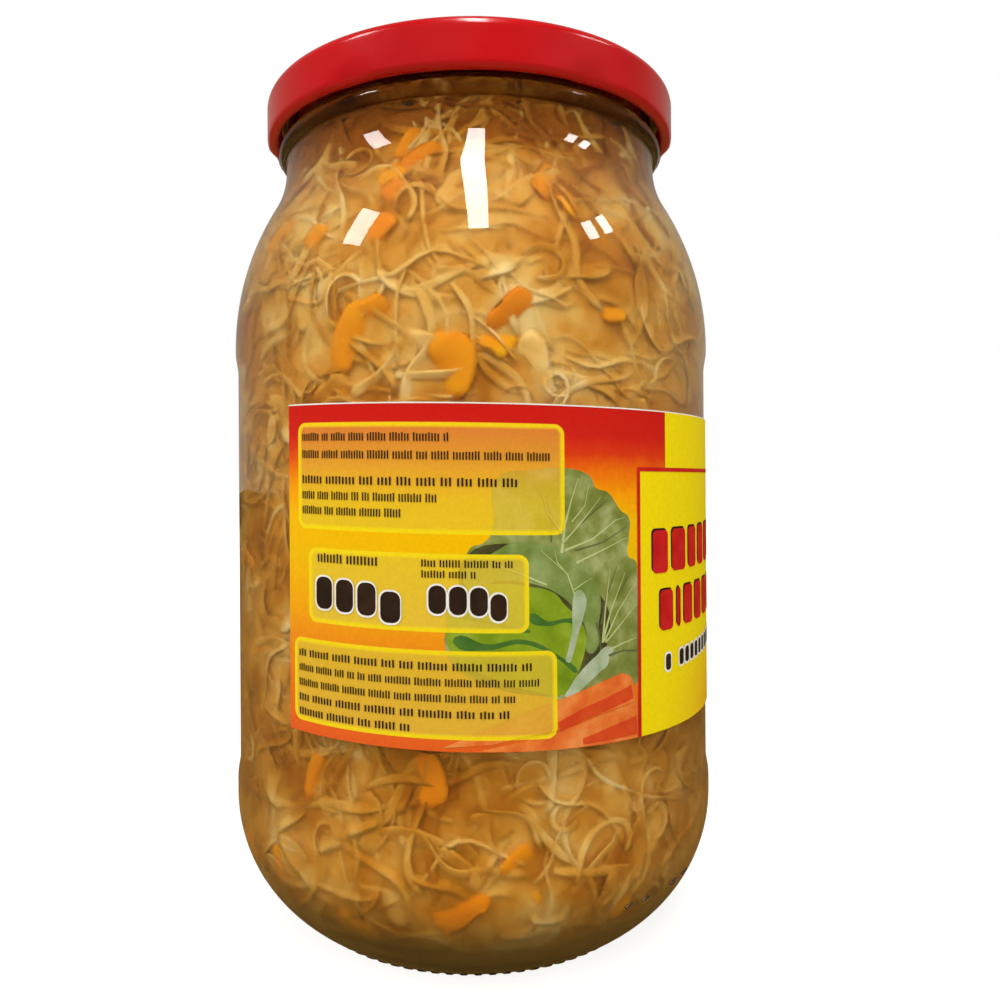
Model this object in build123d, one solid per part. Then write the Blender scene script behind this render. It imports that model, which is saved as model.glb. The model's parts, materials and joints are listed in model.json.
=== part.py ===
from build123d import *
from math import acos, asin, atan, cos, degrees, radians, sin
import os

# Sauerkraut jar: a clear glass jar of about 900 ml with a twist-off metal lid, a paper band
# label and its shredded contents. Millimetres, +Z up, origin at the middle of the foot.
# The jar is seen from -Y. Bearings are degrees from -Y, growing towards +X.

# Glass body
jar_height = 164.0         # foot to rim
body_radius = 49.0         # widest, at the heel and the shoulder
wall = 2.9                 # glass thickness of the side
heel_height = 24.8         # where the rounded heel reaches full width
heel_inset = 15.7          # foot's outer edge inside the full width
foot_width = 2.6           # flat ring that the jar stands on
push_up = 2.4              # hollow under the foot, at the middle
floor_height = 6.4         # inside floor above the foot
inner_heel_radius = 17.0   # rounding inside, between floor and side

# Recessed panel for the label
panel_depth = 0.5          # recess into the side
panel_start = 6.5          # bottom of the recess above the heel's full width
panel_end = 4.3            # top of the recess below the start of the shoulder
panel_step = 1.4           # height of the slope at each end of the recess

# Shoulder and neck
neck_radius = 38.7
neck_length = 1.8          # straight part under the bead
shoulder_drop = 37.6       # start of the shoulder below the foot of the neck
shoulder_share = 0.73      # part of the shoulder's curve that bulges outwards
bead_size = 1.5            # section radius of the bead
bead_gap = 0.6             # bead to the lugs above it

# Thread ridges on the neck
thread_count = 6
thread_depth = 1.1         # how far a ridge stands out
thread_width = 1.2         # height of a ridge
thread_length = 44.0       # degrees round the neck
thread_slope = 2.5         # degrees

# Raised mould marks on the heel: bearing and height on the heel's curve, both in degrees
heel_marks = [(33.4, 20.7), (38.5, 21.1), (49.3, 21.6), (55.5, 22)]
mark_length = 2.2
mark_width = 0.7
mark_height = 0.4

# Lid
lid_wall = 0.4
lid_gap = 0.3              # curl to the thread ridges
lid_corner = 2.0           # rounding of the top edge
lid_skirt = 7.8            # top of the lid down to the middle of the curl
curl_size = 1.2            # section radius of the rolled edge
seal_gap = 0.1             # rim to the inside of the lid
lid_panel_drop = 1.0       # recess of the lid's middle
lid_panel_gap = 1.0        # recess's edge inside the mouth of the jar
lid_panel_slope = 1.4      # width of the slope round the recess
button_radius = 16.0       # shallow raised middle of the lid
button_rise = 0.5
button_slope = 1.0
lug_width = 12.0           # degrees
lug_height = 1.6
lug_gap = 0.2              # lug to the neck, and lug to the thread ridge above it

# Label
label_thickness = 0.2
label_gap = 0.05           # paper to glass
label_left = -39.8         # bearing of the left end
label_wrap = 212.6         # degrees round the jar
label_low_margin = 12.9    # above the bottom of the panel
label_high_margin = 9.2    # below the top of the panel
label_tilt = 1.2           # degrees, left end higher

# Contents
fill_drop = 7.0            # level below the rim, behind the lid's skirt
contents_gap = 0.15        # contents to glass

# Sizes and heights that several pieces share, from the lid down
lid_radius = neck_radius + thread_depth + lid_gap + 2 * curl_size
lid_top = jar_height + seal_gap + lid_wall
curl_height = lid_top - lid_skirt
lug_bottom = curl_height - lug_height / 2
bead_height = lug_bottom - bead_gap - bead_size
neck_base = bead_height - bead_size - neck_length
shoulder_base = neck_base - shoulder_drop
panel_bottom = heel_height + panel_start
panel_top = shoulder_base - panel_end
panel_radius = body_radius - panel_depth
inner_radius = body_radius - wall
mouth_radius = neck_radius - wall

# The heel is one arc from the foot's outer edge to the side, which it meets upright
heel_radius = (heel_inset**2 + heel_height**2) / (2 * heel_inset)
heel_turn = degrees(asin(heel_height / heel_radius))
heel_center = (body_radius - heel_radius, heel_height)


def turned(outline, turn=360):
    """Solid of revolution about Z, starting at +X, from an outline of radius and height."""
    return revolve(make_face(Plane.XZ * outline), Axis.Z, turn)


def at_bearing(shape, bearing):
    """The shape, made at +X, moved round to a bearing."""
    return Rot(Z=bearing - 90) * shape


def ring_block(inner, outer, low, high, turn):
    """A square-sectioned piece of a ring, with its middle at +X."""
    corners = [(inner, low), (outer, low), (outer, high), (inner, high)]
    block = turned(Polyline(*corners, close=True), turn)
    return Rot(Z=-turn / 2) * block


def shoulder_arcs(inset):
    """Convex and concave arcs between side and neck, moved into the glass by inset."""
    drop_in = body_radius - neck_radius
    turn = 2 * degrees(atan(drop_in / shoulder_drop))
    both_radii = shoulder_drop / sin(radians(turn))
    convex = both_radii * shoulder_share
    concave = both_radii - convex
    lower_center = (body_radius - convex, shoulder_base)
    upper_center = (neck_radius + concave, neck_base)
    lower = CenterArc(lower_center, convex - inset, 0, turn)
    upper = CenterArc(upper_center, concave + inset, 180 + turn, -turn)
    return lower, upper


def inner_wall(gap, top):
    """The jar's inside from the middle of the floor up to a height, moved in by gap."""
    side = inner_radius - gap
    low = floor_height + gap
    bend = inner_heel_radius - gap
    bend_center = (side - bend, floor_height + inner_heel_radius)
    lower, upper = shoulder_arcs(wall + gap)
    heel = CenterArc(bend_center, bend, -90, 90)
    return (
        Line((0, low), heel @ 0)
        + heel
        + Line(heel @ 1, lower @ 0)
        + lower
        + upper
        + Line(upper @ 1, (mouth_radius - gap, top))
    )


def outer_wall(top):
    """The jar's outside from the foot's outer edge up to a height on the neck."""
    heel = CenterArc(heel_center, heel_radius, -heel_turn, heel_turn)
    lower, upper = shoulder_arcs(0)
    bead = CenterArc((neck_radius, bead_height), bead_size, -90, 180)
    side = Polyline(
        heel @ 1,
        (body_radius, panel_bottom - panel_step),
        (panel_radius, panel_bottom),
        (panel_radius, panel_top),
        (body_radius, panel_top + panel_step),
        lower @ 0,
    )
    return (
        heel
        + side
        + lower
        + upper
        + Line(upper @ 1, bead @ 0)
        + bead
        + Line(bead @ 1, (neck_radius, top))
    )


def foot():
    """The hollow underside and the flat ring, from the middle to the heel."""
    ring_outer = body_radius - heel_inset
    ring_inner = ring_outer - foot_width
    hollow_radius = (ring_inner**2 + push_up**2) / (2 * push_up)
    hollow_turn = degrees(asin(ring_inner / hollow_radius))
    hollow = CenterArc((0, push_up - hollow_radius), hollow_radius, 90, -hollow_turn)
    return hollow + Line((ring_inner, 0), (ring_outer, 0))


def thread_ridge(index):
    """One sloping ridge on the neck, above a lug of the lid."""
    middle = lug_bottom + lug_height + lug_gap + thread_width
    low = middle - thread_width / 2
    high = middle + thread_width / 2
    ridge = ring_block(neck_radius - wall / 2, neck_radius + thread_depth, low, high, thread_length)
    pivot = Pos(0, 0, middle)
    return Rot(Z=360 / thread_count * index) * pivot * Rot(X=thread_slope) * pivot.inverse() * ridge


def heel_mark(bearing, turn):
    """A small raised bar that lies flat on the heel."""
    radius = heel_center[0] + heel_radius * cos(radians(turn))
    height = heel_center[1] - heel_radius * sin(radians(turn))
    bar = Box(2 * mark_height, mark_length, mark_width)
    return at_bearing(Pos(radius, 0, height) * Rot(Y=turn) * bar, bearing)


def jar_glass():
    """The glass with its foot, heel, recessed panel, shoulder, neck and rim."""
    rim_base = jar_height - wall / 2
    rim = CenterArc((neck_radius - wall / 2, rim_base), wall / 2, 0, 180)
    axis = Line((0, push_up), (0, floor_height))
    outline = foot() + outer_wall(rim_base) + rim + inner_wall(0, rim_base) + axis
    glass = turned(outline)
    for index in range(thread_count):
        glass += thread_ridge(index)
    for bearing, turn in heel_marks:
        glass += heel_mark(bearing, turn)
    return glass


def lid_section():
    """Closed section of the lid: stepped top, rounded edge, skirt and rolled curl."""
    panel_top_height = lid_top - lid_panel_drop
    panel_edge = mouth_radius - lid_panel_gap
    top_steps = [
        (0, panel_top_height + button_rise),
        (button_radius, panel_top_height + button_rise),
        (button_radius + button_slope, panel_top_height),
        (panel_edge - lid_panel_slope, panel_top_height),
        (panel_edge, lid_top),
    ]
    under_steps = [(radius, height - lid_wall) for radius, height in reversed(top_steps)]
    corner_center = (lid_radius - lid_corner, lid_top - lid_corner)
    corner = CenterArc(corner_center, lid_corner, 90, -90)
    inside_corner = CenterArc(corner_center, lid_corner - lid_wall, 0, 90)
    curl_join = degrees(acos((curl_size - lid_wall) / curl_size))
    curl = CenterArc((lid_radius - curl_size, curl_height), curl_size, 0, curl_join - 360)
    return (
        Polyline(*top_steps, corner @ 0)
        + corner
        + Line(corner @ 1, curl @ 0)
        + curl
        + Line(curl @ 1, inside_corner @ 0)
        + inside_corner
        + Polyline(inside_corner @ 1, *under_steps)
        + Line(under_steps[-1], top_steps[0])
    )


def lid():
    """The lid, with lugs that grip under the thread ridges."""
    cap = turned(lid_section())
    curl_middle = lid_radius - curl_size
    lug_top = lug_bottom + lug_height
    lug = ring_block(neck_radius + lug_gap, curl_middle, lug_bottom, lug_top, lug_width)
    for index in range(thread_count):
        cap += Rot(Z=360 / thread_count * index) * lug
    return cap


def label():
    """The paper band, glued on a little askew."""
    low = panel_bottom + label_low_margin
    high = panel_top - label_high_margin
    inner = panel_radius + label_gap
    tall_band = ring_block(inner, inner + label_thickness, panel_bottom, panel_top, label_wrap)
    slab = Pos(0, 0, (low + high) / 2) * Rot(Y=label_tilt)
    slab *= Box(3 * body_radius, 3 * body_radius, high - low)
    return at_bearing(tall_band, label_left + label_wrap / 2) & slab


def contents():
    """Sauerkraut in its brine, filling the jar up to its level."""
    fill_height = jar_height - fill_drop
    side = inner_wall(contents_gap, fill_height)
    top = Line((mouth_radius - contents_gap, fill_height), (0, fill_height))
    axis = Line((0, fill_height), (0, floor_height + contents_gap))
    return turned(side + top + axis)


def main():
    os.makedirs("parts", exist_ok=True)
    pieces = {"jar_glass": jar_glass(), "lid": lid(), "label": label(), "contents": contents()}
    for name, piece in pieces.items():
        export_step(piece, f"parts/{name}.step")


main()
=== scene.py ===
import json
import math
from contextlib import contextmanager

import bpy
import numpy as np
from mathutils import Matrix, Vector

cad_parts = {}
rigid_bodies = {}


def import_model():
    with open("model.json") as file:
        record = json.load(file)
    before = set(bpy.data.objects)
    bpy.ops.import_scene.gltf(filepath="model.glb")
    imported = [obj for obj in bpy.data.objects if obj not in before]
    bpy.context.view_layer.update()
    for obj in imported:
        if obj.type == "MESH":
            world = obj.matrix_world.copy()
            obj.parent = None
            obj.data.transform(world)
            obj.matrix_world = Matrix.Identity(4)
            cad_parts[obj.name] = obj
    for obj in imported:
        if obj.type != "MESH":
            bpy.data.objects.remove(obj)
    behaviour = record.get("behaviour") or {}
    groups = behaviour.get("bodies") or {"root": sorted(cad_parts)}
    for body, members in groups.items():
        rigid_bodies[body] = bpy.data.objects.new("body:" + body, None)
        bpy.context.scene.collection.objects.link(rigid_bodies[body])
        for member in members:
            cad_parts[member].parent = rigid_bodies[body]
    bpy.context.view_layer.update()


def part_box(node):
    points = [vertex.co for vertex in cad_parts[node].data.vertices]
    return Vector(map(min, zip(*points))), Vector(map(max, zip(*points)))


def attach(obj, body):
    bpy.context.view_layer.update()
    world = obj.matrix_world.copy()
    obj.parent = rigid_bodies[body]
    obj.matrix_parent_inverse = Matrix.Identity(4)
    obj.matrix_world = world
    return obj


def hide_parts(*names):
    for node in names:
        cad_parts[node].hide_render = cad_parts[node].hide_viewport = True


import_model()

# Sauerkraut jar. The sizes below are the frame's own, in millimetres, and MM turns them into metres.
MM = 0.001

BODY_RADIUS = 49.0
WALL = 2.9
HEEL_HEIGHT = 24.8
HEEL_INSET = 15.7
FOOT_WIDTH = 2.6
PUSH_UP = 2.4
FLOOR_HEIGHT = 6.4
INNER_HEEL_RADIUS = 17.0
PANEL_RADIUS = 48.5
PANEL_LOW = 31.3
PANEL_HIGH = 108.6
PANEL_STEP = 1.4
SHOULDER_LOW = 112.9
NECK_LOW = 150.5
NECK_RADIUS = 38.7
SHOULDER_SHARE = 0.73
BEAD_HEIGHT = 153.8
BEAD_SIZE = 1.5
RIM_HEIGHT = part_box("jar_glass")[1][2] / MM
FILL_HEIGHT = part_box("contents")[1][2] / MM

LID_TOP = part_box("lid")[1][2] / MM
LID_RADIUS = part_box("lid")[1][0] / MM
CURL_SIZE = 1.2
CURL_HEIGHT = 156.7

LABEL_RADIUS = 48.75
LABEL_THICKNESS = 0.2
LABEL_LEFT = -39.8
LABEL_WRAP = 212.6
LABEL_LOW = 44.2
LABEL_HEIGHT = 55.2
LABEL_LENGTH = math.radians(LABEL_WRAP) * LABEL_RADIUS
LABEL_TILT = math.tan(math.radians(1.2))
FACET = 1.6                # width of the flat strips that the paper and its prints bend in


# ---- Modelling


def stands_for(piece, cad_node):
    """The piece replaces a CAD node: the node is hidden and the piece joins the root body."""
    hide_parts(cad_node)
    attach(piece, "root")


def put_in_scene(name, data):
    made = bpy.data.objects.new(name, data)
    bpy.context.scene.collection.objects.link(made)
    return made


def put_down_everything():
    """Leaves no piece selected, and no edit mode open."""
    if bpy.context.object and bpy.context.object.mode != "OBJECT":
        bpy.ops.object.mode_set(mode="OBJECT")
    bpy.ops.object.select_all(action="DESELECT")


def take_up(piece):
    put_down_everything()
    piece.select_set(True)
    bpy.context.view_layer.objects.active = piece


@contextmanager
def editing(piece):
    """Edit mode on one piece, left again at the end."""
    take_up(piece)
    bpy.ops.object.mode_set(mode="EDIT")
    yield
    bpy.ops.object.mode_set(mode="OBJECT")


def arc(centre, radius, start, end, steps):
    """Points along an arc of a section, in radius and height."""
    turns = np.radians(np.linspace(start, end, steps + 1))
    return [(centre[0] + radius * math.cos(t), centre[1] + radius * math.sin(t)) for t in turns]


def turn_on_lathe(name, section, cuts):
    """A turned piece: its section is drawn point by point from one vertex, then spun."""
    same = 1e-4
    section = [section[0]] + [b for a, b in zip(section, section[1:]) if math.dist(a, b) > same]
    put_down_everything()
    bpy.ops.mesh.primitive_plane_add(size=MM, location=(section[0][0] * MM, 0, section[0][1] * MM))
    piece = bpy.context.object
    piece.name = piece.data.name = name
    with editing(piece):
        bpy.ops.mesh.select_mode(type="VERT")
        bpy.ops.mesh.merge(type="CENTER")
        for (r0, z0), (r1, z1) in zip(section, section[1:]):
            step = ((r1 - r0) * MM, 0, (z1 - z0) * MM)
            bpy.ops.mesh.extrude_region_move(TRANSFORM_OT_translate={"value": step})
        bpy.ops.mesh.select_all(action="SELECT")
        bpy.ops.mesh.spin(steps=cuts, angle=math.tau, center=(0, 0, 0), axis=(0, 0, 1))
        bpy.ops.mesh.select_all(action="SELECT")
        bpy.ops.mesh.remove_doubles(threshold=0.01 * MM)
        bpy.ops.mesh.normals_make_consistent(inside=False)
    bpy.ops.object.transform_apply(location=True, rotation=True, scale=True)
    bpy.ops.object.shade_smooth()
    return piece


def bearing_of(point):
    """Degrees round the jar from -Y, growing towards +X."""
    return math.degrees(math.atan2(point[0], -point[1]))


def shoulder(inset):
    """The shoulder's two arcs, moved into the glass by inset."""
    drop_in, drop = BODY_RADIUS - NECK_RADIUS, NECK_LOW - SHOULDER_LOW
    turn = 2 * math.degrees(math.atan(drop_in / drop))
    both = drop / math.sin(math.radians(turn))
    convex, concave = both * SHOULDER_SHARE, both * (1 - SHOULDER_SHARE)
    low = arc((BODY_RADIUS - convex, SHOULDER_LOW), convex - inset, 0, turn, 22)
    high = arc((NECK_RADIUS + concave, NECK_LOW), concave + inset, 180 + turn, 180, 16)
    return low + high


def inside_wall(gap, top):
    """Section of the jar's inside from the middle of its floor up, moved in by gap."""
    side = BODY_RADIUS - WALL - gap
    bend = INNER_HEEL_RADIUS - gap
    heel = arc((side - bend, FLOOR_HEIGHT + INNER_HEEL_RADIUS), bend, -90, 0, 22)
    floor = [(r, FLOOR_HEIGHT + gap) for r in (0, 10, 20, 26)]
    side_up = [(side, z) for z in (30, 50, 70, 90, 106)]
    return floor + heel + side_up + shoulder(WALL + gap) + [(NECK_RADIUS - WALL - gap, top)]


def eased_step(r0, z0, r1, z1):
    """A soft slope between two straight runs of a section."""
    steps = np.linspace(0, 1, 9)
    return [(r0 + (r1 - r0) * t * t * (3 - 2 * t), z0 + (z1 - z0) * t) for t in steps]


def raise_faces(piece, wanted, rise, soften=False):
    """Pulls out the faces whose middle and normal pass the test."""
    with editing(piece):
        bpy.ops.mesh.select_mode(type="FACE")
        bpy.ops.mesh.select_all(action="DESELECT")
    for face in piece.data.polygons:
        face.select = bool(wanted(face.center / MM, face.normal))
    with editing(piece):
        bpy.ops.mesh.extrude_region_shrink_fatten(TRANSFORM_OT_shrink_fatten={"value": rise * MM})
        if soften:
            bpy.ops.mesh.select_more()
            bpy.ops.mesh.vertices_smooth(factor=0.4, repeat=2)


# ---- Materials

GLASS_IOR = 1.5
BRINE_IOR = 1.33
SWIRL = 0.014              # how far the cabbage's pattern is bent, in metres


def new_material(name):
    """A material with its tree, its shader, its output, and places on the object for patterns."""
    material = bpy.data.materials.new(name)
    material.use_nodes = True
    tree = material.node_tree
    place = node(tree, "TexCoord").outputs["Object"]
    return material, tree, tree.nodes["Principled BSDF"], tree.nodes["Material Output"], place


def plug(tree, socket, value):
    """Links an output, or a node's first one, to a socket, or gives the socket a plain value."""
    if isinstance(value, bpy.types.Node):
        value = value.outputs[0]
    if isinstance(value, bpy.types.NodeSocket):
        tree.links.new(value, socket)
    else:
        socket.default_value = value


def node(tree, kind, **settings):
    """A shader node with its settings, and inputs given as in_Name or in_0."""
    made = tree.nodes.new("ShaderNode" + kind)
    for key, value in settings.items():
        if key.startswith("in_"):
            key = key[3:]
            plug(tree, made.inputs[int(key) if key.isdigit() else key.replace("_", " ")], value)
        else:
            setattr(made, key, value)
    return made


def node_group(name, inputs, outputs):
    """A group of nodes with the sockets that go into it and come out of it."""
    group = bpy.data.node_groups.new(name, "ShaderNodeTree")
    for way, sockets in (("INPUT", inputs), ("OUTPUT", outputs)):
        for socket, kind in sockets.items():
            group.interface.new_socket(socket, in_out=way, socket_type="NodeSocket" + kind)
    return group, group.nodes.new("NodeGroupInput").outputs, group.nodes.new("NodeGroupOutput").inputs


def colour(red, green, blue):
    """A printed or seen colour, 0 to 255, as the shader's linear one."""
    return tuple(
        c / 12.92 if c <= 0.04045 else ((c + 0.055) / 1.055) ** 2.4
        for c in (red / 255, green / 255, blue / 255)
    ) + (1.0,)


def ramp(tree, factor, *stops):
    """A colour ramp. A stop is a level and either a linear colour or a seen one, 0 to 255."""
    made = node(tree, "ValToRGB", in_0=factor)
    while len(made.color_ramp.elements) < len(stops):
        made.color_ramp.elements.new(0.5)
    for element, (level, *shade) in zip(made.color_ramp.elements, stops):
        element.position = level
        element.color = colour(*shade) if len(shade) == 3 else shade
    return made.outputs["Color"]


def maths(tree, operation, first, second=0.0, third=0.0, clamp=False):
    return node(
        tree, "Math", operation=operation, use_clamp=clamp, in_0=first, in_1=second, in_2=third
    ).outputs[0]


def vectors(tree, operation, *given):
    """Maths on places, each an output or a plain triple."""
    made = node(tree, "VectorMath", operation=operation)
    for socket, value in zip(made.inputs, given):
        plug(tree, socket, value)
    return made.outputs["Value" if operation == "LENGTH" else "Vector"]


def blend(tree, factor, first, second, kind="MIX"):
    return node(
        tree, "Mix", data_type="RGBA", blend_type=kind, in_0=factor, in_6=first, in_7=second
    ).outputs[2]


def noise(tree, place, scale, detail=2.0, **settings):
    return node(
        tree, "TexNoise", in_Vector=place, in_Scale=scale, in_Detail=detail, **settings
    ).outputs[0]


def set_finish(tree, shader, **values):
    """Fills the shader's own sockets, named with _ for a space."""
    for name, value in values.items():
        plug(tree, shader.inputs[name.replace("_", " ")], value)


def relief(tree, height, strength, distance):
    """A bump whose distance is in millimetres."""
    return node(tree, "Bump", in_Strength=strength, in_Distance=distance * MM, in_Height=height)


def remap(tree, value, start, end, low=0.0, high=1.0):
    """Stretches one range of values to another, and stays inside it."""
    return node(tree, "MapRange", in_0=value, in_1=start, in_2=end, in_3=low, in_4=high).outputs[0]


def absorb(tree, output, shade, density):
    """Colour that grows with the thickness that light goes through."""
    plug(tree, output.inputs["Volume"], node(tree, "VolumeAbsorption", in_Color=shade, in_Density=density))


def let_lamps_through(tree, glass, output):
    """Shadow rays and scattered rays go straight through, so the contents are lit."""
    path = node(tree, "LightPath").outputs
    clear = node(tree, "BsdfTransparent", in_Color=(1, 1, 1, 1))
    scattered = node(tree, "MixShader", in_0=path["Is Diffuse Ray"], in_1=glass, in_2=clear)
    both = node(tree, "MixShader", in_0=path["Is Shadow Ray"], in_1=scattered, in_2=clear)
    plug(tree, output.inputs["Surface"], both)


def glass_material():
    material, tree, glass, output, place = new_material("flint_glass")
    set_finish(
        tree, glass, Base_Color=(0.985, 1.0, 0.99, 1), Transmission_Weight=1.0, IOR=GLASS_IOR,
        Roughness=remap(tree, noise(tree, place, 60.0, 4.0), 0.0, 1.0, 0.0, 0.035),
        Normal=relief(tree, noise(tree, place, 38.0, 1.5), 0.12, 0.6),
    )
    let_lamps_through(tree, glass, output)
    absorb(tree, output, (0.72, 0.9, 0.5, 1), 20.0)
    return material


def brine_material():
    """Cloudy brine. Its rough surface blurs what lies deeper, as the haze in it does."""
    material, tree, brine, output, place = new_material("cloudy_brine")
    swirl = noise(tree, place, 90.0)
    set_finish(
        tree, brine, Transmission_Weight=1.0, IOR=BRINE_IOR, Roughness=0.85, Specular_IOR_Level=0.1,
        Base_Color=ramp(tree, swirl, (0.3, 0.99, 0.97, 0.9, 1), (0.7, 1, 1, 0.97, 1)),
    )
    let_lamps_through(tree, brine, output)
    absorb(tree, output, (0.95, 0.74, 0.03, 1), 150.0)
    return material


def mottle_group():
    """How pale the cabbage is at a place: its tone, which carries painted light and shade, with cloudy
    patches that neighbours share, and fine fibres.
    """
    group, given, result = node_group(
        "cabbage_mottle", {"Tone": "Float"}, {"Shade": "Float", "Fibre": "Float"}
    )
    place = node(group, "TexCoord").outputs["Object"]
    bend = node(group, "TexNoise", in_Vector=place, in_Scale=110.0, in_Detail=2.0).outputs["Color"]
    swirled = vectors(group, "MULTIPLY_ADD", bend, (SWIRL, SWIRL, SWIRL), place)
    fibre = noise(group, swirled, 230.0, noise_type="RIDGED_MULTIFRACTAL", in_Roughness=0.4)
    total = maths(group, "MULTIPLY_ADD", given["Tone"], 0.5, -0.55)
    for layer, share in (
        (noise(group, place, 62.0), 1.1), (noise(group, swirled, 170.0), 0.5), (fibre, 0.07),
    ):
        total = maths(group, "MULTIPLY_ADD", layer, share, total)
    plug(group, result["Shade"], total)
    plug(group, result["Fibre"], fibre)
    return group


CABBAGE = (
    (0.2, 168, 92, 10), (0.38, 202, 132, 34), (0.52, 224, 164, 76),
    (0.66, 238, 195, 124), (0.88, 251, 228, 186),
)
CARROT = ((0.35, 232, 128, 4), (0.6, 240, 144, 4), (0.85, 245, 160, 0), (1.0, 248, 178, 10))


def cabbage_material(name, group, fibre_depth, glow=0.0):
    """Soft wet cabbage. Each piece's own tone, with painted light and shade by height and depth in it, is
    kept on its mesh, and light sinks into a thick one.
    """
    material, tree, skin, output, place = new_material(name)
    tone = node(tree, "Attribute", attribute_name="tone").outputs["Fac"]
    mottle = node(tree, "Group", node_tree=group, in_Tone=tone).outputs
    set_finish(
        tree, skin, Base_Color=ramp(tree, mottle["Shade"], *CABBAGE), Roughness=0.5,
        Normal=relief(tree, mottle["Fibre"], fibre_depth, 0.4), Specular_IOR_Level=0.08,
        Subsurface_Weight=glow, Subsurface_Radius=(1.0, 0.8, 0.55), Subsurface_Scale=1.2 * MM,
    )
    return material


def carrot_material():
    material, tree, skin, output, place = new_material("carrot")
    tone = node(tree, "Attribute", attribute_name="tone").outputs["Fac"]
    patch = noise(tree, place, 220.0, 3.0)
    mixed = maths(tree, "MULTIPLY_ADD", patch, 0.5, tone)
    set_finish(
        tree, skin, Base_Color=ramp(tree, maths(tree, "SUBTRACT", mixed, 0.1), *CARROT), Roughness=0.45,
        Normal=relief(tree, patch, 0.3, 0.4), Specular_IOR_Level=0.1,
    )
    return material


def lacquer_material():
    material, tree, skin, output, place = new_material("red_lacquer")
    cloud = noise(tree, place, 45.0, 3.0)
    set_finish(
        tree, skin, Metallic=0.0, Coat_Weight=0.35, Coat_Roughness=0.08, Specular_IOR_Level=0.35,
        Base_Color=ramp(tree, cloud, (0.35, 182, 3, 11), (0.65, 196, 8, 16)),
        Roughness=remap(tree, noise(tree, place, 420.0, 5.0), 0.0, 1.0, 0.16, 0.26),
        Normal=relief(tree, cloud, 0.08, 0.2),
    )
    return material


# ---- Glass


def foot_section():
    ring_out = BODY_RADIUS - HEEL_INSET
    ring_in = ring_out - FOOT_WIDTH
    sphere = (ring_in**2 + PUSH_UP**2) / (2 * PUSH_UP)
    lift = math.degrees(math.asin(ring_in / sphere))
    hollow = arc((0, PUSH_UP - sphere), sphere, 90, 90 - lift, 10)
    return hollow[:-1] + [(ring_in - 0.3, 0.06), (ring_in + 0.2, 0), (ring_out - 0.3, 0)]


def heel_circle():
    radius = (HEEL_INSET**2 + HEEL_HEIGHT**2) / (2 * HEEL_INSET)
    return (BODY_RADIUS - radius, HEEL_HEIGHT), radius, math.degrees(math.asin(HEEL_HEIGHT / radius))


def outside_wall():
    centre, radius, turn = heel_circle()
    heel = arc(centre, radius, -turn, 0, 40)
    panel = (
        eased_step(BODY_RADIUS, PANEL_LOW - PANEL_STEP - 2.2, PANEL_RADIUS, PANEL_LOW + 0.6)
        + [(PANEL_RADIUS, z) for z in (PANEL_LOW + 1, 50, 70, 90, PANEL_HIGH - 1)]
        + eased_step(PANEL_RADIUS, PANEL_HIGH - 0.6, BODY_RADIUS, PANEL_HIGH + PANEL_STEP + 2.2)
    )
    bead = arc((NECK_RADIUS, BEAD_HEIGHT), BEAD_SIZE, -90, 90, 12)
    neck = [(NECK_RADIUS, z) for z in (155.6, 157.4, 159.0, 160.2, 161.2, 162.3)]
    lip = arc((NECK_RADIUS - WALL / 2, RIM_HEIGHT - WALL / 2), WALL / 2, 0, 180, 14)
    return heel + panel + shoulder(0) + [(NECK_RADIUS, NECK_LOW + 0.6)] + bead + neck + lip


def make_glass():
    section = foot_section() + outside_wall() + inside_wall(0, RIM_HEIGHT - WALL / 2)[::-1]
    glass = turn_on_lathe("jar_shell", section, 180)
    ring_out = BODY_RADIUS - HEEL_INSET

    # Knurled ring on the heel beside the foot
    tooth = 2  # degrees

    def knurl(middle, normal):
        r = math.hypot(middle.x, middle.y)
        raised = int((bearing_of(middle) + 360) / tooth) % 2 == 0
        return raised and ring_out + 0.4 < r < ring_out + 3.2 and middle.z < 5 and normal.z < 0

    raise_faces(glass, knurl, 0.28, soften=True)

    # Thread ridges on the neck, hidden by the lid
    ridge_wrap, ridge_pitch = 44, 60  # degrees

    def ridge(middle, normal):
        r = math.hypot(middle.x, middle.y)
        turn = (bearing_of(middle) - 90 + ridge_wrap / 2) % ridge_pitch
        return r > NECK_RADIUS - 0.2 and 159.0 < middle.z < 161.2 and turn < ridge_wrap

    raise_faces(glass, ridge, 0.9)

    stands_for(glass, "jar_glass")
    glass.data.materials.append(glass_material())


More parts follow.
